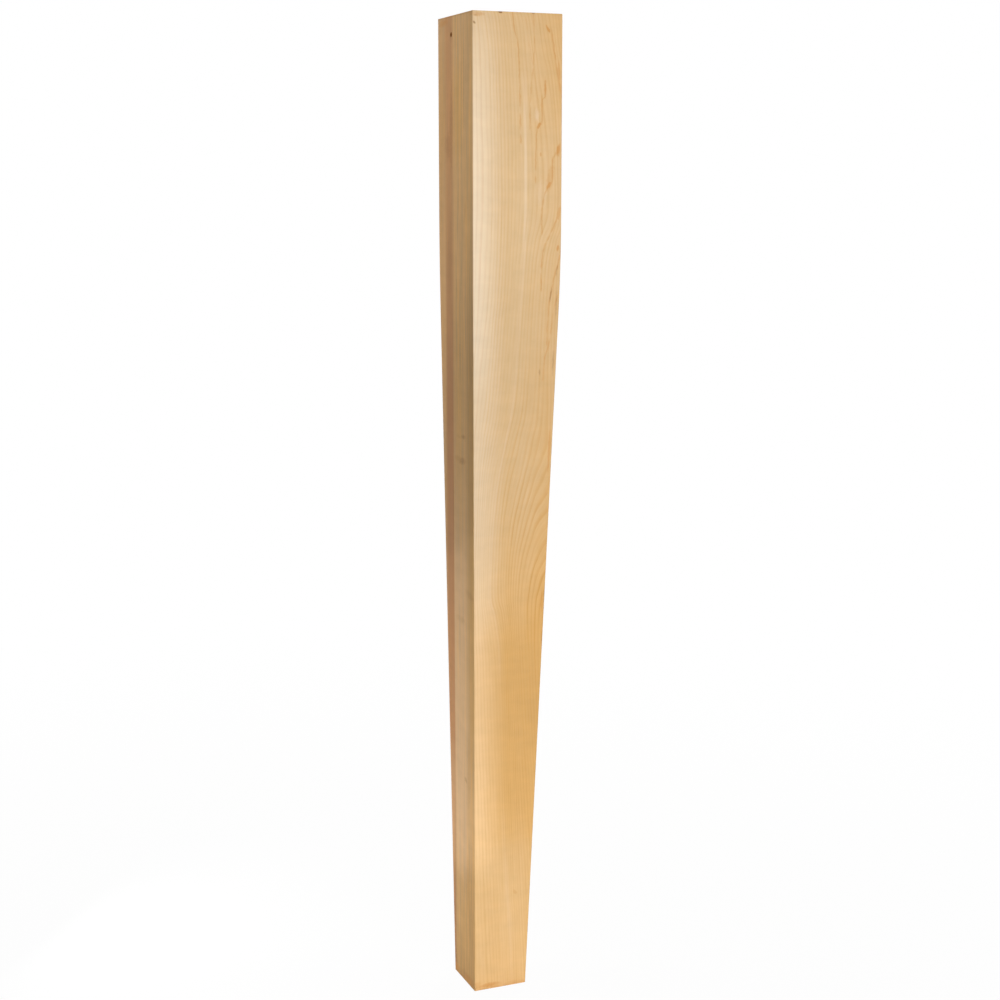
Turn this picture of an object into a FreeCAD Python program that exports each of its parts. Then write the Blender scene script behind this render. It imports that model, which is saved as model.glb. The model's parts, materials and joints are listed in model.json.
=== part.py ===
"""Tapered square table leg, planed from one maple blank.

The leg stands on its foot with +Z up. The origin lies in the foot plane, under the
centre of the square block. The two outer faces, -X and -Y, run flat from top to foot.
The two inner faces, +X and +Y, are flat on the block, where the aprons would meet them,
and then taper to the foot. All lengths are in millimetres.
"""
import FreeCAD, Part
import Sketcher
import math
import os

NODE = "leg"

# Alias, size, and what the size is.
SIZES = [
    ("leg_length", 736.6, "foot to top, 29 in"),
    ("block_width", 69.85, "side of the square block, 2-3/4 in"),
    ("block_length", 177.8, "block from the top to where the taper would start, 7 in"),
    ("foot_width", 42.6, "side of the square foot"),
    ("blend_radius", 1500.0, "planed transition from the block into the taper"),
    ("arris_radius", 0.8, "sanded round on the long arrises"),
    ("end_radius", 0.4, "sanded round about the top and the foot"),
    ("nick_from_corner", 21.4, "outer arris to the larger chip in the top front edge"),
    ("nick_width", 1.8, "larger chip along the edge"),
    ("nick_depth", 1.0, "larger chip into the front face"),
    ("nick_height", 1.1, "larger chip down from the top"),
    ("chip_from_corner", 46.9, "outer arris to the smaller chip in the top front edge"),
    ("chip_width", 1.2, "smaller chip along the edge"),
    ("chip_depth", 0.7, "smaller chip into the front face"),
    ("chip_height", 0.8, "smaller chip down from the top"),
]

# A solid's volume may differ from its formula by this share before the build stops.
VOLUME_TOLERANCE = 1e-6

# Ends of an edge that lie this close to a plane are on it.
ON_PLANE = 1e-6

# A long arris climbs at least this share of its own length.
ARRIS_CLIMB = 0.9


def make_sheet(document):
    """Spreadsheet with one row for each driving size."""
    sheet = document.addObject("Spreadsheet::Sheet", "Sizes")
    for row, (alias, size, meaning) in enumerate(SIZES, start=1):
        sheet.set("A%d" % row, alias)
        sheet.set("B%d" % row, str(size))
        sheet.set("C%d" % row, meaning)
        sheet.setAlias("B%d" % row, alias)
    document.recompute()
    return sheet


def make_sketch(body, name, role):
    """Empty sketch on the origin plane of the body that has this role, such as XY_Plane."""
    planes = [feature for feature in body.Origin.OriginFeatures if feature.Role == role]
    sketch = body.newObject("Sketcher::SketchObject", name)
    sketch.AttachmentSupport = [(planes[0], "")]
    sketch.MapMode = "FlatFace"
    sketch.Visibility = False
    return sketch


def add_polygon(sketch, points):
    """Closed outline of straight lines whose ends are joined."""
    count = len(points)
    corners = [FreeCAD.Vector(x, y, 0) for x, y in points]
    for index in range(count):
        sketch.addGeometry(Part.LineSegment(corners[index], corners[(index + 1) % count]), False)
    for index in range(count):
        sketch.addConstraint(Sketcher.Constraint("Coincident", index, 2, (index + 1) % count, 1))


def bind(sketch, name, constraint, expression):
    """Add a named dimension to a sketch and drive it from the sheet."""
    index = sketch.addConstraint(constraint)
    sketch.renameConstraint(index, name)
    sketch.setExpression("Constraints." + name, expression)


def add_blank(body, sizes):
    """Square blank, centred on the Z axis, as long as the leg."""
    outline = make_sketch(body, "BlankOutline", "XY_Plane")
    half = sizes.block_width / 2
    add_polygon(outline, [(-half, -half), (half, -half), (half, half), (-half, half)])
    for line in (0, 2):
        outline.addConstraint(Sketcher.Constraint("Horizontal", line))
    for line in (1, 3):
        outline.addConstraint(Sketcher.Constraint("Vertical", line))
    outline.addConstraint(Sketcher.Constraint("Equal", 0, 1))
    outline.addConstraint(Sketcher.Constraint("Symmetric", 0, 1, 2, 1, -1, 1))
    width = Sketcher.Constraint("DistanceX", 0, 1, 0, 2, 2 * half)
    bind(outline, "width", width, "Sizes.block_width")
    blank = body.newObject("PartDesign::Pad", "Blank")
    blank.Profile = outline
    blank.setExpression("Length", "Sizes.leg_length")
    return blank


def add_taper(body, name, role, sizes):
    """Long wedge taken off one inner face, from the block down to the foot.

    In both side planes the sketch's X points out of the inner face and its Y is height.
    The outline goes up the tapered face, round the blend, down the block's face and back
    along the foot. A point marks the corner that the taper would have without its blend.
    """
    wedge = make_sketch(body, name + "Outline", role)
    face = sizes.block_width / 2
    foot = sizes.foot_width - face
    height = sizes.leg_length - sizes.block_length
    radius = sizes.blend_radius
    slant = math.atan2(face - foot, height)
    tangent = radius * math.tan(slant / 2)
    low = FreeCAD.Vector(face - tangent * math.sin(slant), height - tangent * math.cos(slant), 0)
    high = FreeCAD.Vector(face, height + tangent, 0)
    centre = FreeCAD.Vector(face - radius, height + tangent, 0)
    circle = Part.Circle(centre, FreeCAD.Vector(0, 0, 1), radius)
    toe = FreeCAD.Vector(foot, 0, 0)
    heel = FreeCAD.Vector(face, 0, 0)
    wedge.addGeometry(Part.LineSegment(toe, low), False)
    wedge.addGeometry(Part.ArcOfCircle(circle, -slant, 0.0), False)
    wedge.addGeometry(Part.LineSegment(high, heel), False)
    wedge.addGeometry(Part.LineSegment(heel, toe), False)
    wedge.addGeometry(Part.Point(FreeCAD.Vector(face, height, 0)), True)
    for relation in (
        ("Tangent", 0, 2, 1, 1),
        ("Tangent", 1, 2, 2, 1),
        ("Coincident", 2, 2, 3, 1),
        ("Coincident", 3, 2, 0, 1),
        ("Vertical", 2),
        ("Horizontal", 3),
        ("PointOnObject", 3, 1, -1),
        ("PointOnObject", 4, 1, 0),
        ("PointOnObject", 4, 1, 2),
    ):
        wedge.addConstraint(Sketcher.Constraint(*relation))
    bind(wedge, "blend", Sketcher.Constraint("Radius", 1, radius), "Sizes.blend_radius")
    bind(wedge, "face", Sketcher.Constraint("DistanceX", -1, 1, 3, 1, face), "Sizes.block_width / 2")
    bind(wedge, "cut", Sketcher.Constraint("DistanceX", 3, 2, 3, 1, face - foot),
         "Sizes.block_width - Sizes.foot_width")
    bind(wedge, "start", Sketcher.Constraint("DistanceY", -1, 1, 4, 1, height),
         "Sizes.leg_length - Sizes.block_length")
    taper = body.newObject("PartDesign::Pocket", name)
    taper.Profile = wedge
    taper.Type = "ThroughAll"
    taper.Midplane = True
    return taper


def edge_names(feature, wanted):
    """Names of the feature's edges that the test accepts."""
    edges = feature.Shape.Edges
    return ["Edge%d" % (index + 1) for index, edge in enumerate(edges) if wanted(edge)]


def is_long_arris(edge):
    """True for an edge that runs up the leg, on the block, the blend or the taper."""
    run = edge.Vertexes[-1].Point.sub(edge.Vertexes[0].Point)
    return abs(run.z) > ARRIS_CLIMB * run.Length


def add_round(body, name, base, edges, size):
    """Fillet on named edges, with its radius driven by one size of the sheet."""
    fillet = body.newObject("PartDesign::Fillet", name)
    fillet.Base = (base, edges)
    fillet.setExpression("Radius", "Sizes." + size)
    body.Document.recompute()
    return fillet


def ease_edges(body, base, sizes):
    """Sanded rounds, first on the long arrises and then about both ends."""
    arrises = add_round(body, "EasedArrises", base, edge_names(base, is_long_arris), "arris_radius")
    top = sizes.leg_length

    def is_rim(edge):
        heights = [vertex.Point.z for vertex in edge.Vertexes]
        return all(abs(z) < ON_PLANE for z in heights) or all(abs(z - top) < ON_PLANE for z in heights)

    return add_round(body, "EasedEnds", arrises, edge_names(arrises, is_rim), "end_radius")


def add_chip(body, name, size, sizes):
    """Three-cornered chip out of the top front edge.

    Its sizes are the aliases that start with size, and its tip points into the wood.
    """
    outline = make_sketch(body, name + "Outline", "XY_Plane")
    outline.setExpression("AttachmentOffset.Base.z", "Sizes.leg_length")
    corner = -sizes.block_width / 2
    tip = corner + sizes.get(size + "_from_corner")
    depth = sizes.get(size + "_depth")
    width = sizes.get(size + "_width")
    add_polygon(outline, [(tip - width / 2, corner), (tip + width / 2, corner), (tip, corner + depth)])
    outline.addConstraint(Sketcher.Constraint("Horizontal", 0))
    outline.addConstraint(Sketcher.Constraint("Equal", 1, 2))
    bind(outline, "front", Sketcher.Constraint("DistanceY", 0, 1, -1, 1, -corner), "Sizes.block_width / 2")
    bind(outline, "width", Sketcher.Constraint("DistanceX", 0, 1, 0, 2, width), "Sizes.%s_width" % size)
    bind(outline, "depth", Sketcher.Constraint("DistanceY", 0, 1, 1, 2, depth), "Sizes.%s_depth" % size)
    bind(outline, "tip", Sketcher.Constraint("DistanceX", 1, 2, -1, 1, -tip),
         "Sizes.block_width / 2 - Sizes.%s_from_corner" % size)
    chip = body.newObject("PartDesign::Pocket", name)
    chip.Profile = outline
    chip.setExpression("Length", "Sizes.%s_height" % size)
    body.Document.recompute()
    return chip


def tapered_volume(sizes):
    """Volume of the block and the square frustum below it, with no blend between them."""
    wide = sizes.block_width
    narrow = sizes.foot_width
    run = sizes.leg_length - sizes.block_length
    frustum = run / 3 * (wide ** 2 + wide * narrow + narrow ** 2)
    return wide ** 2 * sizes.block_length + frustum


def blend_share(sizes):
    """Most wood that the two blends can take off, as a share of the tapered volume."""
    slant = math.atan2(sizes.block_width - sizes.foot_width, sizes.leg_length - sizes.block_length)
    sliver = sizes.blend_radius ** 2 * (math.tan(slant / 2) - slant / 2)
    return 2 * sliver * sizes.block_width / tapered_volume(sizes)


def check_volume(name, found, expected, share):
    """Stop if a solid's volume is not the one that its sizes give, within a share of it."""
    print("%s: %.1f mm3, by formula %.1f mm3" % (name, found, expected))
    if abs(found - expected) > share * expected:
        raise ValueError("%s has the wrong volume" % name)


def check_objects(document):
    """Stop if any object of the document failed to compute."""
    for thing in document.Objects:
        if "Invalid" in thing.State or "Error" in thing.State:
            raise ValueError("%s failed: %s" % (thing.Name, thing.State))


def make_leg(document):
    """Build the leg as one body and return it."""
    body = document.addObject("PartDesign::Body", "Leg")
    body.Label = NODE
    sizes = document.Sizes
    blank = add_blank(body, sizes)
    document.recompute()
    check_volume("blank", blank.Shape.Volume, sizes.block_width ** 2 * sizes.leg_length, VOLUME_TOLERANCE)

    add_taper(body, "TaperBack", "YZ_Plane", sizes)
    tapered = add_taper(body, "TaperRight", "XZ_Plane", sizes)
    document.recompute()
    check_objects(document)
    tolerance = blend_share(sizes) + VOLUME_TOLERANCE
    check_volume("tapered", tapered.Shape.Volume, tapered_volume(sizes), tolerance)

    eased = ease_edges(body, tapered, sizes)
    nicked = add_chip(body, "TopNick", "nick", sizes)
    chipped = add_chip(body, "TopChip", "chip", sizes)
    check_objects(document)
    for before, after in ((tapered, eased), (eased, nicked), (nicked, chipped)):
        if after.Shape.Volume >= before.Shape.Volume:
            raise ValueError("%s removed no wood" % after.Name)
    return body


def main():
    """Build the document, check it and write the leg's solid."""
    document = FreeCAD.newDocument("TableLeg")
    make_sheet(document)
    leg = make_leg(document)
    document.recompute()
    check_objects(document)
    shape = leg.Shape
    if shape.isNull() or not shape.isValid() or len(shape.Solids) != 1:
        raise ValueError("the leg is not one valid solid")
    box = shape.optimalBoundingBox()
    print("leg: %.3f x %.3f x %.3f mm" % (box.XLength, box.YLength, box.ZLength))
    print("leg: %.1f mm3, centre of mass %s" % (shape.Volume, shape.Solids[0].CenterOfMass))
    os.makedirs("parts", exist_ok=True)
    shape.exportStep("parts/%s.step" % leg.Label)


main()
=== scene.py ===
"""Looks of a tapered maple table leg, laid out as an add-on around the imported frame.

The leg is planed from one blank. Its two outer faces run flat, its two inner faces taper
below the block, and its arrises are sanded. Lengths are in metres in the mesh, and in
millimetres where the wood's figure is described.
"""
import json
import math

import bmesh
import bpy
from bpy.props import FloatProperty, FloatVectorProperty, PointerProperty
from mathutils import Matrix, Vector, noise


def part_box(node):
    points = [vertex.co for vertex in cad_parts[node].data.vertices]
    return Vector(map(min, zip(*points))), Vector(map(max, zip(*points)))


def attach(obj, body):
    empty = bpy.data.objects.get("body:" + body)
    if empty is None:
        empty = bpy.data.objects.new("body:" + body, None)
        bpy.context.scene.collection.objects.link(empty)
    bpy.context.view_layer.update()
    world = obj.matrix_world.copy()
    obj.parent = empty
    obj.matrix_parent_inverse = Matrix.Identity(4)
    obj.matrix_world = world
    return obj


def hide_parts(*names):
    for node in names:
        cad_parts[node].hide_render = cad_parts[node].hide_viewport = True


bl_info = {
    "name": "Tapered Table Leg",
    "version": (1, 0, 0),
    "blender": (4, 5, 0),
    "location": "3D View > Sidebar > Leg",
    "description": "Planes and finishes a tapered maple table leg",
    "category": "Add Mesh",
}

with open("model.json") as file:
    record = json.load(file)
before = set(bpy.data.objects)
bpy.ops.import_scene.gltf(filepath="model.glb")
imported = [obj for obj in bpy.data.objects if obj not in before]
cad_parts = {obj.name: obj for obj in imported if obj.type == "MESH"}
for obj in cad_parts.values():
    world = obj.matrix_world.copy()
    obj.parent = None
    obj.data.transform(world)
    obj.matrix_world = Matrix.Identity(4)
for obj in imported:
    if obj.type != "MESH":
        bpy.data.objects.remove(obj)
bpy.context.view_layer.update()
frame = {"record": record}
LOW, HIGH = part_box("leg")
MOUNTS = {mount["name"]: mount for mount in frame["record"]["mounts"]}
MM = 0.001

# Columns of the mesh across the leg, and the tolerance for points that share a plane, in m.
COLUMNS = 10
SAME_PLACE = 1e-5

# Half width of the area that is cut finer for a chip or the knot, and its depth at the top, in m.
CUT_REACH = 9 * MM
CUT_DEPTH = 8 * MM

# Cuts each way from the knot's middle, and how far they go as a share of its half size.
KNOT_CUTS = 8
KNOT_SPREAD = 1.3

# The block and the foot, read from the frame.
BLOCK_WIDTH = HIGH.x - LOW.x
LEG_LENGTH = HIGH.z - LOW.z
FOOT_WIDTH = 2 * (MOUNTS["foot"]["pos_m"][0] - LOW.x)

# Camera that matches the photograph's view: place in m, tilt and turn in degrees, sensor in mm.
CAMERA_PLACE = (-0.49656, -1.21528, 0.60843)
CAMERA_TILT = 80.086
CAMERA_TURN = -22.245
SENSOR_WIDTH = 36.0

# Lamps: name, setting that holds the power, place, target and edge length, all in m.
LAMPS = [
    ("key", "key_power", (0.16, -2.2, 0.37), (0.0, 0.0, 0.36), 0.7),
    ("high_side", "high_power", (-0.29, 0.19, 0.74), (-0.035, 0.0, 0.72), 0.16),
    ("low_side", "low_power", (-0.32, 0.21, 0.13), (-0.035, 0.0, 0.13), 0.16),
    ("top", "top_power", (0.1, 0.1, 2.2), (0.0, 0.0, 0.0), 0.8),
    ("back", "back_power", (1.1, 1.2, 1.0), (0.0, 0.0, 0.4), 0.8),
]

# Half width of the floor, and how far out its shadow starts to fade and is gone, in m.
FLOOR_HALF = 6.0
FADE_START = 0.15
FADE_END = 1.2
WHITE = (1.0, 1.0, 1.0)

# Chips out of the top front edge: mm from the outer arris, width, depth and height in mm.
CHIPS = [(21.4, 1.8, 1.0, 1.1), (46.9, 1.2, 0.7, 0.8)]

# Pin knot of the left face, in mm behind the front face and mm down from the top.
KNOT_DEEP = 42.3
KNOT_DOWN = 13.3


def shade(red, green, blue):
    """Linear colour of three screen values from 0 to 255."""
    levels = [level / 255 for level in (red, green, blue)]
    return tuple(s / 12.92 if s <= 0.04045 else ((s + 0.055) / 1.055) ** 2.4 for s in levels)


def length_property(name, description, default):
    """A length that a user can change."""
    return FloatProperty(name=name, description=description, default=default, min=0.0,
                         precision=5, unit="LENGTH")


def level_property(name, description, default, most=1000.0):
    """A plain number, none below 0, that a user can change."""
    return FloatProperty(name=name, description=description, default=default, min=0.0, max=most)


def colour_property(name, description, default):
    """A colour that a user can change."""
    return FloatVectorProperty(name=name, description=description, default=default,
                               min=0.0, max=1.0, size=3, subtype="COLOR")


class LegShape(bpy.types.PropertyGroup):
    """Sizes of the leg that its finish depends on."""

    block_length: length_property("Block length", "Top to where a sharp taper starts", 177.8 * MM)
    blend_radius: length_property("Blend radius", "Bend from the block into the taper", 1500 * MM)
    arris_radius: length_property("Arris radius", "Sanded round on the long arrises", 0.8 * MM)
    end_radius: length_property("End radius", "Sanded round about the top and the foot", 0.4 * MM)
    slice_height: length_property("Slice height", "Spacing of the mesh along the leg", 6 * MM)
    sanding: length_property("Sanding", "Most that uneven sanding takes off an arris", 0.18 * MM)
    knot_width: length_property("Pin knot width", "Pin knot across the grain", 3.0 * MM)
    knot_height: length_property("Pin knot height", "Pin knot along the grain", 4.2 * MM)
    knot_depth: length_property("Pin knot depth", "How far the pin knot sinks in", 0.7 * MM)


class MapleLook(bpy.types.PropertyGroup):
    """Colours of the maple and the spacing of its growth lines."""

    # Pale sapwood, which next to the outer arris also stands in for a painted sheen.
    sapwood_and_sheen: colour_property("Sapwood", "Pale wood next to the outer arris", shade(238, 216, 186))
    timber: colour_property("Timber", "Most of the upper leg", shade(222, 190, 146))
    honey: colour_property("Honey", "Warmer wood in the lower leg", shade(222, 175, 110))
    # Tan is a painted shade: a browner copy of the wood for the shaded left and back faces. The sawn
    # ends start from it too.
    tan: colour_property("Tan", "Browner wood of the left and back faces", shade(223, 184, 138))
    heartwood: colour_property("Heartwood", "Reddish band behind the front face", shade(201, 145, 97))
    late_line: colour_property("Growth line", "Thin line at the end of a year", shade(206, 150, 80))
    mineral: colour_property("Mineral", "Orange-brown mineral streaks", shade(208, 142, 70))
    # Bruise also paints a shade along the rounded top rim of the left face.
    bruise_and_shade: colour_property("Bruise", "Brown patches and smudges", shade(150, 98, 48))
    knot: colour_property("Knot", "Pin knot and chipped fibres", shade(122, 68, 0))
    ring_spacing: FloatProperty(name="Ring spacing", description="Growth lines of the front face, mm",
                                default=2.445, min=0.2)


class StageLook(bpy.types.PropertyGroup):
    """Light, floor and lens."""

    floor: colour_property("Floor", "Pale floor", shade(240, 240, 238))
    key_power: level_property("Key", "Lamp in front of the leg, in watts", 36.0)
    high_power: level_property("High side", "Lamp beside the block, in watts", 0.5)
    low_power: level_property("Low side", "Lamp beside the foot, in watts", 0.72)
    top_power: level_property("Top", "Lamp above the leg, in watts", 10.0)
    back_power: level_property("Back", "Lamp behind the leg, in watts", 17.0)
    sky: level_property("Sky", "Even light from all round", 0.05)
    floor_white: level_property("Floor white", "Share of white in the floor that is seen", 0.97, 1.0)
    lens: FloatProperty(name="Lens", description="Focal length in mm", default=62.8, min=1.0)


class Wire:
    """A number in a shader, on which arithmetic adds Math nodes."""

    def __init__(self, shader, socket):
        self.shader = shader
        self.socket = socket

    def __add__(self, other):
        return self.shader.math("ADD", self, other)

    def __sub__(self, other):
        return self.shader.math("SUBTRACT", self, other)

    def __rsub__(self, other):
        return self.shader.math("SUBTRACT", other, self)

    def __mul__(self, other):
        return self.shader.math("MULTIPLY", self, other)

    def __truediv__(self, other):
        return self.shader.math("DIVIDE", self, other)

    def __abs__(self):
        return self.shader.math("ABSOLUTE", self)

    __radd__ = __add__
    __rmul__ = __mul__


def new_material(name):
    """Material with a node tree."""
    material = bpy.data.materials.new(name)
    material.use_nodes = True
    return material


class Shader:
    """A node tree that is written as expressions."""

    def __init__(self, tree):
        self.tree = tree
        self.tree.nodes.clear()

    def node(self, kind, settings=None, inputs=None):
        """Add a node. Its settings come first, then the values and links of its sockets."""
        made = self.tree.nodes.new("ShaderNode" + kind)
        for key, setting in (settings or {}).items():
            if key == "points":
                self.set_points(made, setting)
            else:
                setattr(made, key, setting)
        for key, source in (inputs or {}).items():
            self.feed(made.inputs[key], source)
        return made

    def set_points(self, made, points):
        """Shape a float curve through points that lie between 0 and 1."""
        curve = made.mapping.curves[0]
        while len(curve.points) < len(points):
            curve.points.new(0.5, 0.5)
        for point, place in zip(curve.points, points):
            point.location = place
        made.mapping.update()

    def feed(self, socket, source):
        """Link a socket to a wire or another socket, or give it a value."""
        if isinstance(source, Wire):
            source = source.socket
        if isinstance(source, bpy.types.NodeSocket):
            self.tree.links.new(source, socket)
        elif socket.type == "RGBA":
            socket.default_value = (*source, 1.0)
        else:
            socket.default_value = source

    def math(self, operation, *values):
        """Math node on one to three numbers."""
        made = self.node("Math", {"operation": operation}, dict(enumerate(values)))
        return Wire(self, made.outputs[0])

    def most(self, values):
        """Greatest of several wires."""
        found = values[0]
        for value in values[1:]:
            found = self.math("MAXIMUM", found, value)
        return found

    def smooth(self, value, low, high):
        """0 at low and 1 at high, with soft ends. Low may be the greater."""
        made = self.node("MapRange", {"interpolation_type": "SMOOTHSTEP"},
                         {"Value": value, "From Min": low, "From Max": high})
        return Wire(self, made.outputs["Result"])

    def ramp(self, value, low, high):
        """0 at low and 1 at high, with a straight rise between them."""
        made = self.node("MapRange", None, {"Value": value, "From Min": low, "From Max": high})
        return Wire(self, made.outputs["Result"])

    def clamp(self, value):
        """A number kept between 0 and 1."""
        return Wire(self, self.node("Clamp", None, {"Value": value}).outputs[0])

    def window(self, value, low, high, soft):
        """1 between low and high, and 0 past a soft margin outside them."""
        return self.smooth(value, low - soft, low) * self.smooth(value, high + soft, high)

    def curve(self, value, points):
        """Smooth curve through listed points, in the units of the points."""
        lefts = [x for x, y in points]
        heights = [y for x, y in points]
        start, end = lefts[0], lefts[-1]
        low, high = min(heights), max(heights)
        span = max(high - low, 1e-6)
        places = [((x - start) / (end - start), (y - low) / span) for x, y in points]
        share = (value - start) / (end - start)
        made = self.node("FloatCurve", {"points": places}, {"Value": share})
        return Wire(self, made.outputs[0]) * span + low

    def vector(self, x, y, z):
        """Vector of three numbers."""
        return self.node("CombineXYZ", None, {0: x, 1: y, 2: z}).outputs[0]

    def noise(self, x, y, z, detail=2.0, roughness=0.5):
        """Noise about 0, between about -0.5 and 0.5, whose blotches are 1 unit across."""
        made = self.node("TexNoise", None, {"Vector": self.vector(x, y, z), "Scale": 1.0,
                                            "Detail": detail, "Roughness": roughness})
        return Wire(self, made.outputs[0]) - 0.5

    def scatter(self, value):
        """Random number from 0 to 1 for each whole number."""
        made = self.node("TexWhiteNoise", {"noise_dimensions": "1D"}, {"W": value})
        return Wire(self, made.outputs[0])

    def blend(self, factor, first, second, kind="MIX"):
        """Colour between two colours."""
        made = self.node("Mix", {"data_type": "RGBA", "blend_type": kind},
                         {0: factor, 6: first, 7: second})
        return made.outputs[2]

    def scale(self, colour, factor):
        """Colour made lighter or darker."""
        made = self.node("VectorMath", {"operation": "SCALE"}, {0: colour, "Scale": factor})
        return made.outputs[0]

    def seen(self):
        """1 for what the camera sees, straight or in a reflection or through a clear pane."""
        rays = self.node("LightPath")
        names = ("Is Camera Ray", "Is Glossy Ray", "Is Transmission Ray")
        return self.most([Wire(self, rays.outputs[name]) for name in names])


# Growth-line drift in rings against the part of the length below the top, as the lines wander
# across the front face: at its outer arris, its left third, its middle and its right third.
DRIFT_ARRIS = [(0.0, 13.4), (0.05, 14.2), (0.15, 14.4), (0.25, 13.8), (0.35, 12.2), (0.42, 10.6),
               (0.5, 8.6), (0.57, 7.6), (0.65, 8.4), (0.81, 9.6), (1.0, 11.0)]
DRIFT_LEFT = [(0.0, 13.9), (0.03, 15.2), (0.08, 15.9), (0.14, 16.4), (0.2, 16.4), (0.25, 15.8),
              (0.31, 14.1), (0.376, 12.4), (0.42, 10.2), (0.456, 8.0), (0.482, 7.0), (0.51, 6.1),
              (0.543, 5.5), (0.57, 5.3), (0.592, 6.4), (0.618, 7.6), (0.652, 8.4), (0.81, 9.9),
              (1.0, 12.0)]
DRIFT_MIDDLE = [(0.0, 14.2), (0.03, 15.6), (0.08, 16.4), (0.14, 16.9), (0.2, 16.8), (0.25, 16.0),
                (0.31, 14.5), (0.376, 13.1), (0.42, 10.9), (0.456, 9.1), (0.482, 7.7),
                (0.51, 6.3), (0.543, 4.7), (0.57, 3.8), (0.592, 3.6), (0.618, 3.9), (0.652, 4.6),
                (0.81, 7.4), (1.0, 10.4)]
DRIFT_RIGHT = [(0.0, 15.6), (0.02, 16.4), (0.08, 19.4), (0.13, 20.4), (0.18, 20.6), (0.22, 18.0),
               (0.25, 16.4), (0.32, 15.4), (0.42, 15.4), (0.456, 14.2), (0.482, 13.2),
               (0.51, 11.6), (0.543, 9.6), (0.57, 7.6), (0.6, 5.8), (0.652, 5.0), (0.81, 7.6),
               (1.0, 10.4)]

# Place of the pith in mm across and behind the front face, and rings per mm away from it.
PITH = (-89.7, -156.0)
RINGS_PER_MM = 0.36

# How warm the wood is by the part of the length below the top, from timber or tan at 0 to honey
# at 1, on the front and right faces and on the left and back faces.
WARMTH_FRONT = [(0.0, 0.26), (0.08, 0.06), (0.35, 0.1), (0.46, 0.24), (0.54, 0.48), (0.6, 0.76),
                (0.66, 1.0), (0.75, 1.0), (0.83, 0.8), (0.88, 0.52), (1.0, 0.62)]
WARMTH_SIDE = [(0.0, 0.4), (0.1, 0.56), (0.3, 0.56), (0.42, 0.45), (0.5, 0.35), (0.57, 0.1),
               (0.7, 0.04), (0.8, 0.02), (0.86, 0.2), (0.9, 0.8), (1.0, 1.12)]

# How much warmer the right half of the front face is, and the side face next to the outer arris.
WARMTH_RIGHT = [(0.0, 0.38), (0.08, 0.34), (0.16, 0.16), (0.34, 0.26), (0.5, 0.42), (0.8, 0.42),
                (0.9, 0.78), (1.0, 0.78)]
WARMTH_OUTER = [(0.0, 0.1), (0.26, 0.06), (0.36, 0.5), (0.5, 0.7), (0.6, 1.0), (0.8, 0.7),
                (0.88, 0.6), (1.0, 0.9)]

# Painted light and shade along the leg, as brightness of the wood: of the left and back faces,
# what is added beyond the heartwood band, what is taken in that band (its own darker tone, and
# painted shade towards the foot), of the front face, and the painted sheen at its outer arris.
PAINTED_LIGHT_SIDE = [(0.0, 1.0), (0.2, 1.02), (0.35, 0.86), (0.42, 0.86), (0.5, 0.88), (0.56, 1.04),
              (0.66, 1.02), (0.74, 1.01), (0.8, 1.075), (0.835, 1.08), (0.88, 0.9), (0.93, 0.89),
              (1.0, 0.86)]
PAINTED_LIGHT_BEYOND = [(0.0, -0.07), (0.12, -0.075), (0.22, 0.1), (0.34, 0.2), (0.46, 0.06), (0.6, 0.0),
                (0.84, 0.0), (0.92, -0.13), (1.0, -0.13)]
BAND_TONE_AND_SHADE = [(0.0, -0.03), (0.2, -0.04), (0.3, 0.0), (0.48, 0.0), (0.56, -0.06), (0.74, -0.05),
              (0.82, -0.03), (0.9, -0.07), (1.0, -0.09)]
PAINTED_LIGHT_FRONT = [(0.0, 0.97), (0.06, 1.0), (0.2, 1.0), (0.34, 0.93), (0.5, 0.95), (0.58, 0.98),
               (0.66, 0.92), (0.75, 0.96), (0.83, 1.03), (0.9, 1.08), (1.0, 1.13)]
PAINTED_SHEEN_ARRIS = [(0.0, 0.0), (0.1, 0.03), (0.3, 0.02), (0.45, 0.0), (0.55, 0.04), (0.66, 0.15),
               (0.74, 0.17), (0.82, 0.2), (0.88, 0.04), (1.0, 0.0)]

# How much of the pale sapwood, with a painted sheen, shows on the front face next to the outer
# arris, and how much painted shade darkens the left face there.
SAPWOOD_AND_SHEEN_SHARE = [(0.0, 0.3), (0.05, 0.64), (0.14, 0.96), (0.3, 1.0), (0.4, 0.65), (0.5, 0.6),
                 (0.57, 0.5), (0.64, 0.36), (0.8, 0.3), (0.9, 0.0), (1.0, 0.0)]
# Painted shade of the left face next to the outer arris, by the part of the length below the top.
SHADE_SIDE = [(0.0, 0.02), (0.1, 0.02), (0.2, 0.07), (0.34, 0.2), (0.5, 0.21), (0.62, 0.14),
              (0.74, 0.1), (0.84, 0.0), (1.0, 0.0)]

# Pale streak of the front face: mm down and mm across, and its strength by mm down.
PALE_STREAK = [(50.0, 39.6), (62.0, 40.6), (90.0, 41.0), (125.0, 41.1), (150.0, 41.0),
               (172.0, 40.0), (190.0, 39.0), (228.0, 35.6), (250.0, 34.0), (277.0, 31.5),
               (298.0, 28.0), (310.0, 25.4), (322.0, 23.0), (336.0, 19.6), (355.0, 17.0),
               (375.0, 14.8), (395.0, 13.3), (420.0, 12.6), (436.0, 16.0), (455.0, 19.0),
               (480.0, 20.6), (540.0, 21.0), (600.0, 23.6), (650.0, 26.4), (690.0, 29.0),
               (722.0, 30.6)]
PALE_STRENGTH = [(40.0, 0.0), (60.0, 0.5), (100.0, 0.9), (160.0, 0.75), (190.0, 0.3),
                 (240.0, 0.22), (280.0, 0.4), (330.0, 0.36), (380.0, 0.2), (430.0, 0.24),
                 (465.0, 0.26), (500.0, 0.06), (580.0, 0.04), (620.0, 0.16), (680.0, 0.2),
                 (715.0, 0.12), (736.0, 0.0)]

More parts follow.
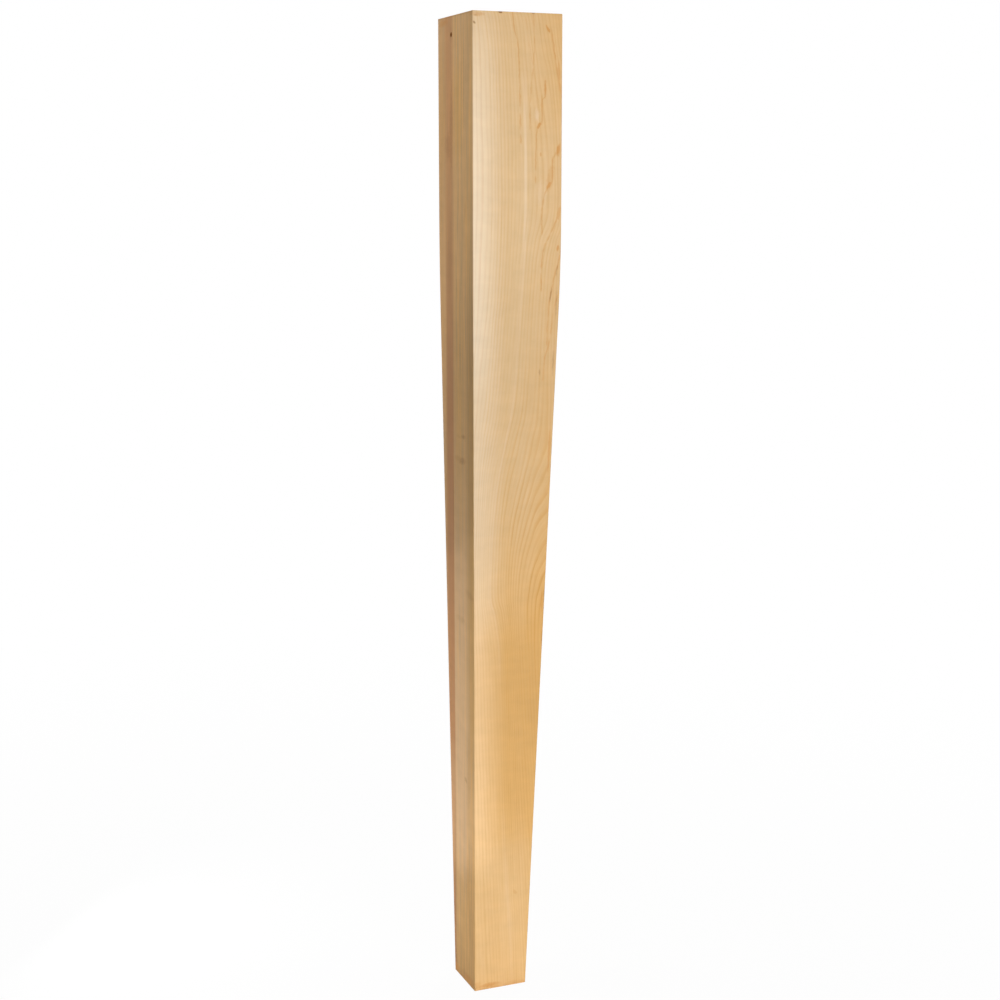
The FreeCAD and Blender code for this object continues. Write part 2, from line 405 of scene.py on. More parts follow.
# Mineral lines of the front face: points of mm down and mm across, width in mm and strength.
MINERAL_LINES = [
    ([(0.5, 30.7), (12.4, 32.3), (21.5, 35.0), (37.6, 35.9), (60.0, 36.6),
      (90.0, 37.4)], 0.7, 0.52),
    ([(0.5, 45.6), (5.0, 47.2), (20.0, 47.7), (37.3, 47.0), (54.0, 45.2),
      (80.0, 44.4)], 0.7, 0.4),
    ([(5.0, 41.2), (29.0, 45.1), (46.5, 48.4), (60.0, 50.6)], 0.7, 0.22),
    ([(12.6, 61.2), (25.2, 63.3), (37.0, 65.1), (48.4, 67.3), (59.0, 69.6)], 0.8, 0.54),
    ([(46.0, 56.4), (57.4, 56.3), (61.0, 53.9), (65.0, 53.4), (69.7, 54.1), (74.3, 54.1),
      (78.5, 51.4), (82.6, 49.9), (95.5, 49.3), (118.0, 49.0)], 0.7, 0.5),
    ([(99.0, 64.3), (107.2, 62.4), (117.9, 62.2), (121.5, 59.9), (125.0, 57.3), (129.8, 55.7),
      (138.1, 54.4), (155.0, 54.1)], 0.8, 0.52),
    ([(139.3, 68.5), (146.0, 65.6), (153.0, 62.6), (160.0, 58.9), (166.0, 56.0), (172.0, 54.7),
      (179.0, 53.9), (196.0, 53.8)], 0.8, 0.56),
    ([(168.0, 69.4), (178.0, 67.4), (185.0, 64.9), (194.0, 62.7), (201.0, 61.2), (209.0, 59.9),
      (222.0, 59.0), (236.0, 58.6)], 0.8, 0.5),
    ([(201.0, 67.2), (214.0, 63.4), (226.0, 61.9), (238.0, 59.7), (248.0, 56.8),
      (262.0, 55.6)], 0.8, 0.46),
]

# Mineral flecks of the front face: mm across and down, half sizes in mm, lean and strength.
FLECKS = [
    (58.4, 11.0, 1.1, 2.6, 1.2, 0.66),
    (56.4, 52.6, 0.9, 6.0, 0.0, 0.62),
    (53.9, 67.0, 0.6, 10.0, 0.1, 0.5),
    (51.6, 78.8, 1.4, 2.3, -0.9, 0.68),
    (53.0, 99.2, 0.7, 1.6, 0.0, 0.5),
    (67.2, 42.0, 0.6, 9.0, 0.5, 0.5),
    (66.9, 96.0, 1.5, 4.0, -0.4, 0.68),
    (62.3, 110.0, 0.7, 9.0, -0.1, 0.55),
    (60.6, 116.0, 2.6, 9.0, -0.6, 0.26),
    (59.6, 121.3, 1.5, 3.2, -1.0, 0.68),
    (67.6, 141.0, 1.2, 4.5, -0.6, 0.44),
    (67.0, 166.4, 1.0, 2.2, -0.4, 0.6),
    (60.6, 316.0, 0.8, 16.0, -0.8, 0.44),
    (55.2, 431.0, 0.8, 8.0, -0.3, 0.44),
    (33.6, 660.2, 1.4, 1.8, 0.6, 0.28),
]

# Pale spots of the front face, with the same columns.
PALE_SPOTS = [
    (50.0, 71.5, 2.0, 4.2, 0.0, 0.4),
    (53.5, 127.0, 4.0, 9.0, 0.0, 0.2),
]

# Dark dents, chipped fibres and brown grain marks of the front face, with the same columns.
DENTS = [
    (1.6, 8.3, 0.9, 1.0, 0.5, 0.7),
    (2.4, 3.2, 1.1, 0.5, 0.0, 0.3),
    (21.4, 0.3, 1.5, 1.0, 0.0, 1.0),
    (46.9, 0.2, 1.1, 0.8, 0.0, 0.75),
    (66.4, 181.5, 0.7, 5.0, -1.0, 0.3),
    (61.4, 200.5, 0.7, 4.4, -0.9, 0.5),
    (52.7, 257.5, 0.7, 2.4, 0.0, 0.36),
    (66.0, 207.0, 0.7, 10.0, -0.6, 0.3),
    (63.6, 251.0, 0.8, 8.0, -0.4, 0.34),
    (57.3, 427.5, 0.7, 5.0, -0.35, 0.45),
    (55.7, 461.0, 0.6, 7.0, -0.2, 0.5),
]

# Cross-grain smudges and dark grain marks of the left face: mm behind the front face and mm
# down, half sizes in mm, lean and strength.
SMUDGES = [
    (20.5, 305.5, 4.0, 1.5, 0.0, 0.34),
    (29.0, 306.0, 6.0, 1.4, 0.0, 0.12),
    (23.0, 323.8, 7.0, 2.6, 0.2, 0.34),
    (32.0, 323.0, 6.0, 2.2, 0.0, 0.18),
    (24.0, 446.0, 4.5, 2.6, 0.2, 0.17),
    (31.0, 445.6, 6.5, 2.2, 0.0, 0.12),
    (17.3, 571.0, 2.2, 2.2, -0.6, 0.34),
    (8.0, 424.0, 7.0, 3.2, -0.6, 0.16),
    (15.0, 140.0, 1.2, 7.0, 0.4, 0.2),
    (29.0, 134.0, 1.0, 9.0, -0.4, 0.16),
    (17.6, 55.0, 0.8, 30.0, 0.1, 0.24),
    (33.0, 196.0, 1.1, 8.0, 0.0, 0.16),
    (11.0, 640.0, 1.6, 20.0, 0.1, 0.14),
]

# Share of the length by which the side face's painted light and shade change lower down, per mm
# behind the front face.
PAINTED_LIGHT_LEAN = 0.0005

# Warm patches of the left face, with the same columns.
HONEY_PATCHES = [
    (30.0, 68.0, 9.0, 34.0, 0.0, 0.5),
    (58.0, 60.0, 5.0, 40.0, 0.0, 0.3),
    (33.0, 10.0, 4.0, 16.0, 0.0, 0.3),
    (30.0, 290.0, 11.0, 90.0, 0.0, 0.3),
]

# Broad dark patches of the left face, in the heartwood band, in the grain and by the foot, and a
# painted shade along the rounded top rim, with the same columns.
HEART_PATCHES = [
    (43.0, 82.0, 3.2, 32.0, 0.3, 0.3),
    (48.0, 92.0, 7.0, 9.0, 0.0, 0.28),
    (47.0, 176.0, 4.0, 34.0, 0.3, 0.16),
    (41.6, 360.0, 1.8, 30.0, 0.0, 0.22),
    (21.0, 36.0, 2.0, 22.0, 0.2, 0.14),
    (12.0, 570.0, 2.6, 36.0, 0.3, 0.16),
    (14.0, 655.0, 2.6, 22.0, -0.2, 0.2),
    (10.0, 676.0, 2.0, 18.0, 0.2, 0.14),
    (36.0, 716.0, 9.0, 22.0, 0.0, 0.1),
    (42.0, 727.0, 5.0, 9.0, 0.0, 0.42),
    # Painted shade along the rounded top rim.
    (35.0, 0.4, 60.0, 0.9, 0.0, 0.3),
    (20.0, 733.0, 22.0, 5.0, 0.0, 0.18),
    (40.0, 640.0, 2.6, 60.0, 0.0, 0.2),
]

# Scorches next to the sawn ends, on the front face with the columns of the flecks, and on the
# left face with those of the smudges.
FRONT_SCORCHES = [
    (12.0, 733.4, 8.0, 1.8, -0.2, 0.6),
    (2.0, 733.5, 3.0, 4.0, 0.0, 0.3),
    (34.0, 735.0, 9.0, 1.8, 0.0, 0.24),
    (4.0, 2.4, 4.5, 1.5, 0.0, 0.45),
]
SIDE_SCORCHES = [
    (12.0, 733.0, 12.0, 4.0, 0.3, 0.46),
    (39.0, 732.6, 6.0, 3.6, 0.0, 0.6),
    (58.0, 4.0, 8.0, 2.4, 0.3, 0.5),
]


class MapleMaker:
    """Builds the maple finish from one solid pattern of growth rings."""

    def __init__(self, look):
        self.look = look
        self.material = new_material("sanded_maple")
        self.shader = Shader(self.material.node_tree)
        self.width = BLOCK_WIDTH / MM
        self.length = LEG_LENGTH / MM
        place = self.shader.node("TexCoord").outputs["Object"]
        axes = self.shader.node("SeparateXYZ", None, {0: place})
        x, y, z = (Wire(self.shader, socket) for socket in axes.outputs)
        self.across = x / MM - LOW.x / MM
        self.deep = y / MM - LOW.y / MM
        self.down = HIGH.z / MM - z / MM
        self.share = self.across / self.width
        self.along = self.down / self.length
        # 0 on the front and right faces and 1 on the left and back faces, with a step on the two
        # arrises between them.
        self.turned = self.shader.smooth(self.deep - self.across, -0.7, 0.7)

    def drift(self):
        """Rings by which the growth lines have wandered, by place on the front face."""
        s = self.shader
        edge = s.curve(self.along, DRIFT_ARRIS)
        left = s.curve(self.along, DRIFT_LEFT)
        middle = s.curve(self.along, DRIFT_MIDDLE)
        right = s.curve(self.along, DRIFT_RIGHT)
        found = edge + (left - edge) * s.smooth(self.share, 0.0, 0.22)
        found = found + (middle - found) * s.smooth(self.share, 0.3, 0.56)
        reach = s.ramp(self.share, 0.4, 0.86)
        return found + (right - found) * reach * reach

    def rings(self):
        """Number of the growth ring at each point, which rises by 1 from a line to the next."""
        s = self.shader
        across = self.across - PITH[0]
        deep = self.deep - PITH[1]
        from_pith = s.math("SQRT", across * across + deep * deep)
        at_front = s.math("SQRT", across * across + PITH[1] ** 2)
        wave = s.noise(self.across / 40, self.deep / 40, self.down / 150, 1.0) * 1.2
        ripple = s.noise(self.across / 6, self.deep / 6, self.down / 30, 1.0) * 0.4
        level = self.across / self.look.ring_spacing - self.drift()
        return level + (from_pith - at_front) * RINGS_PER_MM + wave + ripple

    def growth_lines(self, rings):
        """Thin orange-brown lines at the ring ends, which fade in and out."""
        s = self.shader
        part = s.math("FRACT", rings)
        number = s.math("FLOOR", rings)
        strength = s.scatter(number)
        line = s.smooth(part, 0.35, 0.84) * s.smooth(part, 1.0, 0.88)
        fading = s.noise(number * 3.7, self.down / 45, self.deep / 20, 2.0)
        return line * (0.4 + 0.6 * strength) * (0.9 + 1.2 * fading)

    def fibres(self, rings):
        """Fine long fibres that follow the growth lines."""
        s = self.shader
        coarse = s.noise(rings * 0.9, self.deep / 3, self.down / 60, 2.0)
        fine = s.noise(rings * 3.4, self.deep / 0.9, self.down / 18, 2.0, 0.6)
        return coarse * 0.45 + fine * 0.55

    def ends(self):
        """1 on the sawn top and foot."""
        s = self.shader
        edge = 0.12
        top = s.smooth(self.down, edge, 0.0)
        foot = s.smooth(self.down, self.length - edge, self.length)
        return s.most([top, foot])

    def mineral_lines(self):
        """Thin broken mineral lines of the front face, as one mask."""
        s = self.shader
        jitter = s.noise(self.across / 2.5, self.down / 4, 3.0, 2.0) * 1.5
        across = self.across + jitter
        masks = []
        for points, width, strength in MINERAL_LINES:
            path = s.curve(self.down, points)
            line = s.smooth(abs(across - path), width * 1.3, 0.0)
            reach = s.window(self.down, points[0][0], points[-1][0], 3.0)
            masks.append(line * reach * strength)
        broken = s.noise(self.across / 6, self.down / 9, 11.0, 2.0)
        return s.most(masks) * s.smooth(broken, -0.26, 0.08)

    def blots(self, first, second, table, crisp=0.0):
        """Ragged spots from a table of centres, half sizes, leans and strengths.

        Their edges are soft at a crisp of 0 and sharp at 1.
        """
        s = self.shader
        ragged = s.noise(first / 1.4, second / 3.0, 5.0, 2.0) * 2.4
        masks = []
        for a, b, half_a, half_b, lean, strength in table:
            reach_b = (second - b) / half_b
            reach_a = (first - a) / half_a - reach_b * lean
            reach = reach_a * reach_a + reach_b * reach_b + ragged
            masks.append(s.smooth(reach, 1.9 - 0.3 * crisp, 0.7 * crisp - 0.3) * strength)
        return s.most(masks)

    def pale_streak(self):
        """Pale streak that follows the growth lines down the front face."""
        s = self.shader
        path = s.curve(self.down, PALE_STREAK)
        jitter = s.noise(self.across / 8, self.down / 30, 2.0, 1.0) * 1.2
        strands = s.noise(self.across / 1.6, self.down / 60, 8.0, 2.0)
        line = s.smooth(abs(self.across + jitter - path), 2.6, 0.0) * (1.0 + 1.6 * strands)
        strength = s.curve(self.down, PALE_STRENGTH)
        return line * s.math("MAXIMUM", strength, 0.0) * s.smooth(self.deep, 9.0, 1.0)

    def singe(self):
        """Orange-brown scorch of the saw in the last few mm above the foot, deeper in some places."""
        s = self.shader
        ragged = s.noise(self.across / 5, self.deep / 5, self.down / 1.6, 3.0, 0.6)
        rim = s.smooth(self.down + ragged * 9.0, self.length - 4.0, self.length + 1.0) * 0.42
        front = self.blots(self.across, self.down, FRONT_SCORCHES) * s.smooth(self.deep, 8.0, 2.0)
        side = self.blots(self.deep, self.down, SIDE_SCORCHES) * s.smooth(self.across, 8.0, 2.0)
        return s.most([rim, front, side])

    def knot(self):
        """Pin knot of the left face, and a faint trail round it."""
        s = self.shader
        ragged = s.noise(self.deep / 1.2, self.down / 1.6, 7.0, 2.0) * 0.9
        a = (self.deep - KNOT_DEEP + ragged) / 1.8
        b = (self.down - KNOT_DOWN) / 1.7
        near = s.smooth(self.across, 9.0, 3.0)
        core = s.smooth(a * a + b * b, 1.5, 0.3)
        trail = s.smooth(a * a * 0.2 + b * b * 0.06, 1.2, 0.0)
        return core * near * 0.97, trail * near * 0.1

    def bands(self):
        """Reddish heartwood band that runs through the leg, and the wood beyond it."""
        s = self.shader
        wobble = s.noise(self.across / 30, self.deep / 30, self.down / 90, 1.0) * 1.8
        level = self.deep + 0.45 * self.across + wobble
        crisp = s.smooth(self.along, 0.2, 0.42)
        level = level - 1.1 * crisp * s.smooth(self.along, 0.78, 0.6)
        near_edge = s.smooth(level, 36.5 + 2.4 * crisp, 43.0 - 2.6 * crisp)
        main = near_edge * s.smooth(level, 58.0, 51.0)
        beyond = s.smooth(level, 52.0, 57.0)
        main = main * (1.0 - 0.4 * s.window(self.along, 0.78, 0.87, 0.06))
        return main * (0.7 + 0.3 * crisp), beyond

    def front_colour(self, fibres):
        """Wood colour of the front and right faces, with their painted light and shade."""
        s = self.shader
        look = self.look
        near_arris = s.smooth(self.share, 0.42, 0.0) * s.smooth(self.deep, 22.0, 2.0)
        patch = s.noise(self.across / 22, self.deep / 30, self.down / 110, 2.0)
        warmer = s.curve(self.along, WARMTH_RIGHT) * s.smooth(self.share, 0.5, 1.0)
        warmth = s.curve(self.along, WARMTH_FRONT) + warmer
        warmth = warmth + patch * 0.3 - fibres * 0.8
        found = s.blend(s.clamp(warmth), look.timber[:], look.honey[:])
        # Pale sapwood next to the outer arris, with a painted sheen.
        found = s.blend(near_arris * s.curve(self.along, SAPWOOD_AND_SHEEN_SHARE), found, look.sapwood_and_sheen[:])
        pale = self.blots(self.across, self.down, PALE_SPOTS) * s.smooth(self.deep, 9.0, 1.0)
        found = s.blend(s.most([self.pale_streak() * 0.5, pale]), found, look.sapwood_and_sheen[:])
        # Painted light and shade along the front face, and a painted sheen next to the outer arris.
        painted_light = s.curve(self.along, PAINTED_LIGHT_FRONT) + near_arris * s.curve(self.along, PAINTED_SHEEN_ARRIS)
        return s.scale(found, painted_light)

    def side_colour(self, fibres):
        """Wood colour of the left and back faces, with their painted light and shade."""
        s = self.shader
        look = self.look
        streak = s.noise(self.across / 4, self.deep / 4, self.down / 110, 3.0)
        strand = s.noise(self.across / 1.3, self.deep / 1.3, self.down / 34, 2.0, 0.6)
        next_arris = s.smooth(self.deep + self.across, 20.0, 4.0)
        left = s.smooth(self.across, 12.0, 4.0)
        warmth = s.curve(self.along, WARMTH_SIDE) + next_arris * s.curve(self.along, WARMTH_OUTER)
        warmth = warmth + self.blots(self.deep, self.down, HONEY_PATCHES) * left
        found = s.blend(s.clamp(warmth + streak * 1.3 + strand * 0.5), look.tan[:], look.honey[:])
        main, beyond = self.bands()
        found = s.blend(s.clamp(main * (1.0 + 0.7 * streak) + 0.2 * beyond), found, look.heartwood[:])
        patches = self.blots(self.deep, self.down, HEART_PATCHES)
        dark = s.most([patches, self.blots(self.deep, self.down, SMUDGES)])
        found = s.blend(dark * left, found, look.bruise_and_shade[:])
        # Painted light and shade along the left and back faces, lower towards the back.
        leaned = self.along - self.deep * PAINTED_LIGHT_LEAN
        # Painted shade on the left face next to the outer arris.
        shade_side = s.curve(self.along, SHADE_SIDE) * next_arris
        painted_light = s.curve(leaned, PAINTED_LIGHT_SIDE) + beyond * left * s.curve(self.along, PAINTED_LIGHT_BEYOND)
        painted_light = painted_light + main * s.curve(self.along, BAND_TONE_AND_SHADE)
        lively = 0.36 + 0.3 * s.smooth(self.along, 0.44, 0.32) + 0.2 * s.smooth(self.along, 0.82, 0.9)
        lively = lively * (1.0 - 0.5 * s.smooth(self.deep, 32.0, 40.0))
        return s.scale(found, (painted_light + (streak + strand * 0.7) * lively) * (1.0 - shade_side))

    def colour(self, lines, fibres):
        """Base colour of the wood with its painted light and shade, and the mask of the knot's core.
        """
        s = self.shader
        look = self.look
        found = s.blend(self.turned, self.front_colour(fibres), self.side_colour(fibres))
        inner = s.smooth(self.share, 0.0, 0.36)
        lower = s.smooth(self.along, 0.34, 0.5)
        calm = s.smooth(self.along, 0.8, 0.9) * s.smooth(self.share, 0.12, 0.34)
        swirl = s.window(self.along, 0.49, 0.6, 0.05) * s.window(self.share, 0.46, 0.86, 0.1)
        contrast = 0.2 + 0.12 * inner + 0.12 * lower * inner + 0.2 * swirl
        contrast = contrast * (1.0 - 0.3 * self.turned) * (1.0 - 0.45 * calm)
        found = s.blend(lines * contrast, found, look.late_line[:])
        cross = s.noise(self.across / 20, self.deep / 20, self.down / 9, 4.0, 0.55)
        found = s.scale(found, 1.0 + fibres * 0.16 + cross * 0.16)
        near_front = s.smooth(self.deep, 3.0, 0.6)
        flecks = self.blots(self.across, self.down, FLECKS, 0.8)
        minerals = s.most([self.mineral_lines(), flecks]) * near_front
        found = s.blend(s.most([minerals, self.singe()]), found, look.mineral[:])
        dents = self.blots(self.across, self.down, DENTS) * near_front
        found = s.blend(dents, found, look.bruise_and_shade[:])
        core, trail = self.knot()
        return s.blend(s.most([core, trail]), found, look.knot[:]), core

    def end_grain(self, rings):
        """Colour of the sawn ends, with closed rings, pale rays across them and faint saw scores."""
        s = self.shader
        look = self.look
        angle = s.math("ARCTAN2", self.deep - PITH[1], self.across - PITH[0])
        ray = s.noise(angle * 420, self.deep / 14, 9.0, 1.0)
        patch = s.noise(self.across / 16, self.deep / 16, self.down / 90, 3.0)
        part = s.math("FRACT", rings)
        strength = s.scatter(s.math("FLOOR", rings))
        late = s.smooth(part, 0.3, 0.94) * s.smooth(part, 1.0, 0.95) * (0.16 + 0.2 * strength)
        main, beyond = self.bands()
        found = s.blend(s.clamp(0.2 + 0.4 * main + 0.8 * patch), look.tan[:], look.heartwood[:])
        found = s.blend(s.clamp(late + 0.4 * late * patch), found, look.bruise_and_shade[:])
        found = s.blend(s.smooth(ray, 0.08, 0.3) * 0.3, found, look.timber[:])
        return s.scale(found, 0.98 + self.saw_scores() * 0.14)

    def saw_scores(self):
        """Fine scores that a saw leaves across the ends."""
        s = self.shader
        along_cut = self.across * 0.94 - self.deep * 0.34
        over_cut = self.deep * 0.94 + self.across * 0.34
        return s.noise(along_cut / 40, over_cut / 0.5, 4.0, 2.0, 0.6)

    def finish(self):
        """Join the patterns to one shader and return the material."""
        s = self.shader
        rings = self.rings()
        lines = self.growth_lines(rings)
        fibres = self.fibres(rings)
        colour, core = self.colour(lines, fibres)
        ends = self.ends()
        colour = s.blend(ends, colour, self.end_grain(rings))
        roughness = 0.5 + 0.08 * lines + 0.12 * fibres + 0.22 * ends + 0.2 * core
        bump = s.node("Bump", None, {"Strength": 0.3, "Distance": 0.05 * MM,
                                     "Height": fibres - 0.5 * lines})
        skin = s.node("BsdfPrincipled", None, {"Base Color": colour, "Roughness": roughness,
                                               "Normal": bump.outputs[0], "IOR": 1.45,
                                               "Specular IOR Level": 0.12})
        s.node("OutputMaterial", None, {"Surface": skin.outputs[0]})
        return self.material


class LegMaker:
    """Shapes the leg's mesh, from the square blank to the sanded part."""

    def __init__(self, shape):
        self.shape = shape
        self.bm = bmesh.new()

    def saw_blank(self):
        """Square blank with the leg's length."""
        bmesh.ops.create_cube(self.bm, size=1.0)
        bmesh.ops.scale(self.bm, vec=HIGH - LOW, verts=self.bm.verts)
        bmesh.ops.translate(self.bm, vec=(HIGH + LOW) / 2, verts=self.bm.verts)

    def round_edges(self, edges, radius, segments):
        """Sanded round on some edges."""
        bmesh.ops.bevel(self.bm, geom=edges, offset=radius, offset_type="OFFSET", segments=segments,
                        profile=0.5, affect="EDGES", clamp_overlap=True, material=-1)

    def ease_edges(self):
        """Round the four long arrises and then the rims of the top and the foot."""
        upright = [edge for edge in self.bm.edges if abs(edge.verts[0].co.z - edge.verts[1].co.z) > MM]
        self.round_edges(upright, self.shape.arris_radius, 5)
        rims = [edge for edge in self.bm.edges if self.is_rim(edge)]
        self.round_edges(rims, self.shape.end_radius, 3)

    def is_rim(self, edge):
        """True for an edge that an end face shares with a long face."""
        ends = [abs(face.normal.z) > 0.5 for face in edge.link_faces]
        return ends.count(True) == 1

    def cut(self, axis, place, wanted=None):
        """Cut faces along one plane across an axis, all of them or the wanted ones."""
        faces = [face for face in self.bm.faces if wanted is None or wanted(face)]
        edges = {edge for face in faces for edge in face.edges}
        verts = {vert for face in faces for vert in face.verts}
        point = Vector((0.0, 0.0, 0.0))
        normal = Vector((0.0, 0.0, 0.0))
        point[axis] = place
        normal[axis] = 1.0
        bmesh.ops.bisect_plane(self.bm, geom=[*verts, *edges, *faces], dist=1e-7,
                               plane_co=point, plane_no=normal)

    def slice_up(self):
        """Even grid of cuts, so that the taper and the sanding have points to move."""
        count = round(LEG_LENGTH / self.shape.slice_height)
        for index in range(1, count):
            self.cut(2, LOW.z + LEG_LENGTH * index / count)
        for axis in (0, 1):
            for index in range(1, COLUMNS):
                self.cut(axis, LOW[axis] + BLOCK_WIDTH * index / COLUMNS)

    def inset(self, z):
        """How far the tapered faces stand in from the block at a height."""
        corner = LEG_LENGTH - self.shape.block_length
        slant = math.atan2(BLOCK_WIDTH - FOOT_WIDTH, corner)
        radius = self.shape.blend_radius
        tangent = radius * math.tan(slant / 2)
        low = corner - tangent * math.cos(slant)
        high = corner + tangent
        if z >= high:
            return 0.0
        if z <= low:
            return (corner - z) * math.tan(slant)
        return radius - math.sqrt(radius ** 2 - (high - z) ** 2)

    def taper(self):
        """Bring the two inner faces in, with their rounds kept as they are."""
        margin = self.shape.arris_radius
        span = BLOCK_WIDTH - 2 * margin
        for vert in self.bm.verts:
            inset = self.inset(vert.co.z - LOW.z)
            for axis in (0, 1):
                reach = (vert.co[axis] - LOW[axis] - margin) / span
                vert.co[axis] -= inset * min(max(reach, 0.0), 1.0)

    def wear_arrises(self):
        """Uneven hand sanding along the long arrises, always inwards."""
        sides = [(vert, self.arris_side(vert)) for vert in self.bm.verts]
        for vert, side in sides:
            if side is None:
                continue
            rough = noise.noise(Vector((side[0] * 3.0, side[1] * 5.0, vert.co.z * 28.0)))
            take = self.shape.sanding * max(0.0, 0.35 + rough)
            vert.co.x -= side[0] * take * 0.7
            vert.co.y -= side[1] * take * 0.7

    def arris_side(self, vert):
        """Direction to the arris that a point of a long round lies on, or None."""
        normal = vert.normal
        if abs(normal.x) < 0.35 or abs(normal.y) < 0.35 or abs(normal.z) > 0.3:
            return None
        return (math.copysign(1.0, normal.x), math.copysign(1.0, normal.y))

    def chip(self, across, width, depth, height):
        """Three-cornered chip out of the top front edge."""
        tip = LOW.x + across
        floor = HIGH.z - height

        def near(face):
            middle = face.calc_center_median()
            close = abs(middle.x - tip) < CUT_REACH and middle.y < LOW.y + CUT_REACH
            return close and middle.z > HIGH.z - CUT_DEPTH

        for place in (tip - width / 2, tip, tip + width / 2):
            self.cut(0, place, near)
        self.cut(2, floor, near)
        back = LOW.y + depth
        self.cut(1, back, near)
        for vert in self.bm.verts:
            point = vert.co
            if abs(point.x - tip) < SAME_PLACE and point.z > floor + SAME_PLACE and point.y < back:
                point.y = back

        def in_chip(point):
            close = abs(point.x - tip) < width * 0.51 and point.y < back + SAME_PLACE
            return close and point.z > floor - SAME_PLACE

        for edge in self.bm.edges:
            if all(in_chip(vert.co) for vert in edge.verts):
                edge.smooth = False

    def sink_knot(self):
        """Shallow hollow where the pin knot sits in the left face."""
        centre_y = LOW.y + KNOT_DEEP * MM
        centre_z = HIGH.z - KNOT_DOWN * MM
        half_y = self.shape.knot_width / 2
        half_z = self.shape.knot_height / 2

        skin = LOW.x + 0.1 * MM

        def near(face):
            middle = face.calc_center_median()
            if middle.x > skin:
                return False
            return abs(middle.y - centre_y) < CUT_REACH and abs(middle.z - centre_z) < CUT_REACH

        for index in range(-KNOT_CUTS, KNOT_CUTS + 1):
            self.cut(1, centre_y + KNOT_SPREAD * half_y * index / KNOT_CUTS, near)
            self.cut(2, centre_z + KNOT_SPREAD * half_z * index / KNOT_CUTS, near)
        for vert in self.bm.verts:
            if vert.co.x > skin:
                continue
            away_y = (vert.co.y - centre_y) / half_y
            away_z = (vert.co.z - centre_z) / half_z
            away = math.hypot(away_y, away_z)
            away += 0.35 * noise.noise(Vector((away_y * 1.4, away_z * 1.4, 4.0)))
            if away < 1.0:
                vert.co.x += self.shape.knot_depth * (1.0 - away * away)

    def finish(self):
        """Turn the work into a mesh object with smooth faces and crisp chips."""
        self.bm.normal_update()
        for face in self.bm.faces:
            face.smooth = True
        mesh = bpy.data.meshes.new("maple_leg")
        self.bm.to_mesh(mesh)
        self.bm.free()
        piece = bpy.data.objects.new("maple_leg", mesh)
        bpy.context.scene.collection.objects.link(piece)
        weighted = piece.modifiers.new("even_shading", "WEIGHTED_NORMAL")
        weighted.mode = "FACE_AREA"
        weighted.keep_sharp = True
        return piece


class LEG_OT_build(bpy.types.Operator):
    """Plane, taper, sand and finish the leg"""

    bl_idname = "furniture_leg.build"
    bl_label = "Build Leg"

    def execute(self, context):
        maker = LegMaker(context.scene.leg_shape)
        maker.saw_blank()
        maker.ease_edges()
        maker.slice_up()
        maker.taper()
        maker.bm.normal_update()
        maker.wear_arrises()
        for chip in CHIPS:
            maker.chip(*(size * MM for size in chip))
        maker.sink_knot()
        piece = maker.finish()
        piece.data.materials.append(MapleMaker(context.scene.leg_look).finish())
        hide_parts("leg")
        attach(piece, "root")
        return {"FINISHED"}


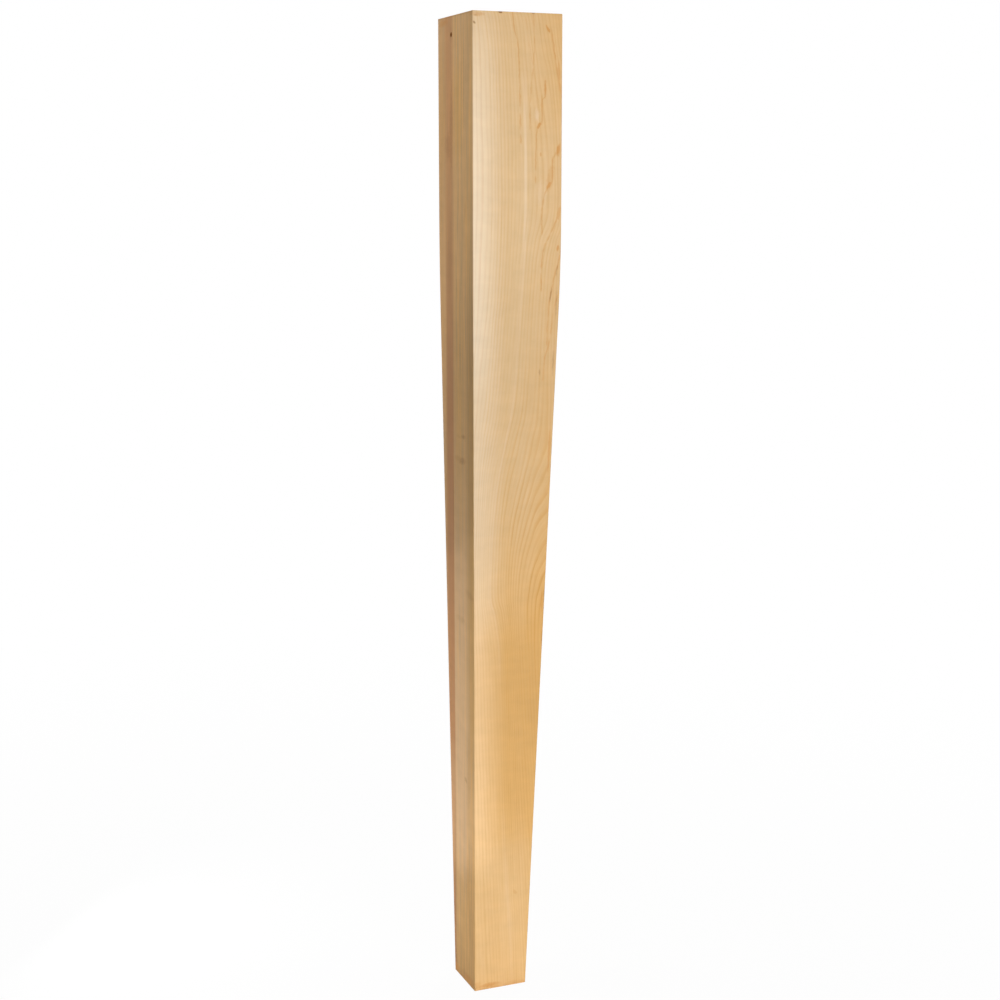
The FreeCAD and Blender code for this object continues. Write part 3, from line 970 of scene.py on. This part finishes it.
class LEG_OT_stage(bpy.types.Operator):
    """Set the floor, the lamps and the camera"""

    bl_idname = "furniture_leg.stage"
    bl_label = "Set Stage"

    def execute(self, context):
        look = context.scene.leg_stage
        self.lay_floor(context, look)
        self.light_sky(context, look)
        for name, power, place, target, size in LAMPS:
            self.hang_lamp(context, name, place, target, size, getattr(look, power))
        self.aim_camera(context, look)
        return {"FINISHED"}

    def lay_floor(self, context, look):
        """Pale floor that keeps the leg's shadow and looks white to the camera elsewhere."""
        bm = bmesh.new()
        bmesh.ops.create_grid(bm, x_segments=1, y_segments=1, size=FLOOR_HALF)
        mesh = bpy.data.meshes.new("floor")
        bm.to_mesh(mesh)
        bm.free()
        floor = bpy.data.objects.new("floor", mesh)
        context.scene.collection.objects.link(floor)
        material = new_material("pale_floor")
        s = Shader(material.node_tree)
        paint = s.node("BsdfDiffuse", None, {"Color": look.floor[:]})
        axes = s.node("SeparateXYZ", None, {0: s.node("TexCoord").outputs["Object"]})
        x, y = (Wire(s, axes.outputs[name]) for name in "XY")
        away = s.smooth(s.math("SQRT", x * x + y * y), FADE_START, FADE_END)
        share = look.floor_white + away * (1.0 - look.floor_white)
        white = s.node("Emission", None, {"Color": WHITE, "Strength": 1.0})
        both = s.node("MixShader", None, {0: s.seen() * share, 1: paint.outputs[0],
                                          2: white.outputs[0]})
        s.node("OutputMaterial", None, {"Surface": both.outputs[0]})
        mesh.materials.append(material)

    def light_sky(self, context, look):
        """Even light all round, and white where the background is seen."""
        world = bpy.data.worlds.new("studio")
        context.scene.world = world
        world.use_nodes = True
        s = Shader(world.node_tree)
        strength = look.sky + s.seen() * (1.0 - look.sky)
        sky = s.node("Background", None, {"Color": WHITE, "Strength": strength})
        s.node("OutputWorld", None, {"Surface": sky.outputs[0]})

    def hang_lamp(self, context, name, place, target, size, power):
        """Square soft lamp that faces a target."""
        lamp = bpy.data.lights.new(name, "AREA")
        lamp.size = size
        lamp.energy = power
        holder = bpy.data.objects.new(name, lamp)
        context.scene.collection.objects.link(holder)
        holder.location = place
        direction = Vector(target) - Vector(place)
        holder.rotation_euler = direction.to_track_quat("-Z", "Y").to_euler()
        holder.visible_camera = False
        holder.visible_glossy = False

    def aim_camera(self, context, look):
        """Camera at the photograph's viewing angle."""
        camera = bpy.data.cameras.new("camera")
        camera.sensor_width = SENSOR_WIDTH
        camera.lens = look.lens
        holder = bpy.data.objects.new("camera", camera)
        context.scene.collection.objects.link(holder)
        holder.location = CAMERA_PLACE
        holder.rotation_euler = (math.radians(CAMERA_TILT), 0.0, math.radians(CAMERA_TURN))
        context.scene.camera = holder


class LEG_PT_sidebar(bpy.types.Panel):
    """Sizes, colours and steps of the leg"""

    bl_label = "Tapered Leg"
    bl_idname = "LEG_PT_sidebar"
    bl_space_type = "VIEW_3D"
    bl_region_type = "UI"
    bl_category = "Leg"

    def draw(self, context):
        scene = context.scene
        for group, operator in ((scene.leg_shape, None), (scene.leg_look, LEG_OT_build.bl_idname),
                                (scene.leg_stage, LEG_OT_stage.bl_idname)):
            box = self.layout.box()
            for name in group.__annotations__:
                box.prop(group, name)
            if operator:
                box.operator(operator)


CLASSES = (LegShape, MapleLook, StageLook, LEG_OT_build, LEG_OT_stage, LEG_PT_sidebar)


def register():
    """Add the classes and the leg's settings to the scene."""
    for item in CLASSES:
        bpy.utils.register_class(item)
    bpy.types.Scene.leg_shape = PointerProperty(type=LegShape)
    bpy.types.Scene.leg_look = PointerProperty(type=MapleLook)
    bpy.types.Scene.leg_stage = PointerProperty(type=StageLook)


def unregister():
    """Take the settings and the classes away."""
    del bpy.types.Scene.leg_stage
    del bpy.types.Scene.leg_look
    del bpy.types.Scene.leg_shape
    for item in reversed(CLASSES):
        bpy.utils.unregister_class(item)


def write_sizes():
    """Bring the view layer up to date."""
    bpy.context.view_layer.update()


def main():
    """Dress the leg, set the stage and bring the view layer up to date."""
    register()
    bpy.context.scene.view_settings.view_transform = "Standard"
    bpy.ops.furniture_leg.build()
    bpy.ops.furniture_leg.stage()
    write_sizes()


if __name__ == "__main__":
    main()
